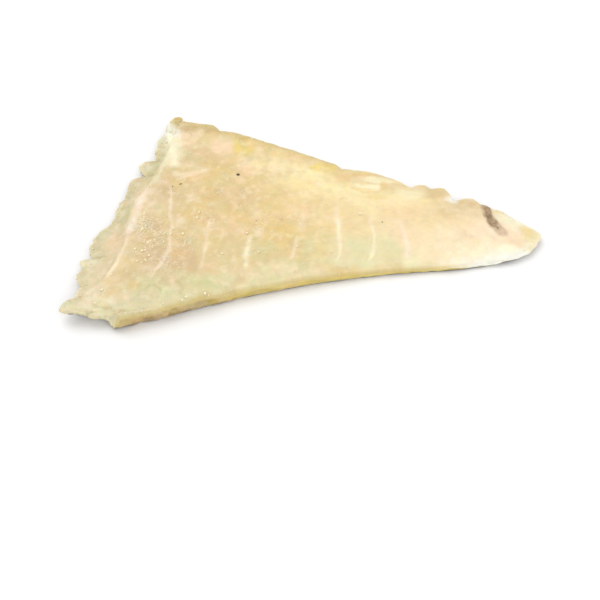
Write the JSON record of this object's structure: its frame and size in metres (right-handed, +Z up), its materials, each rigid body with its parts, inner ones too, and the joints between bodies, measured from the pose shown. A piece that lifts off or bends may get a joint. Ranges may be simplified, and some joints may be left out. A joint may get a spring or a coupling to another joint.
{
  "type": "piece of salt cod",
  "caption": "Flat triangular tail piece of dry salt cod, flesh side up, with a ragged flaky cut edge, pale seams, a smooth trimmed side and grains of salt.",
  "frame": {"origin": "middle of the bounding box, on the surface that the piece lies on", "axes": "+X along the length towards the tail tip, +Y from the trimmed front side to the back rim, +Z up out of the flesh side"},
  "size_m": [0.2216, 0.1282, 0.0118],
  "materials": {
    "cod_flesh": "waxy, slightly translucent dried flesh",
    "cod_skin": "dry mottled grey skin with fine scales",
    "salt": "cloudy white salt crystals"
  },
  "bodies": {
    "root": {"salt_cod_piece": "cod_flesh"}
  },
  "joints": []
}
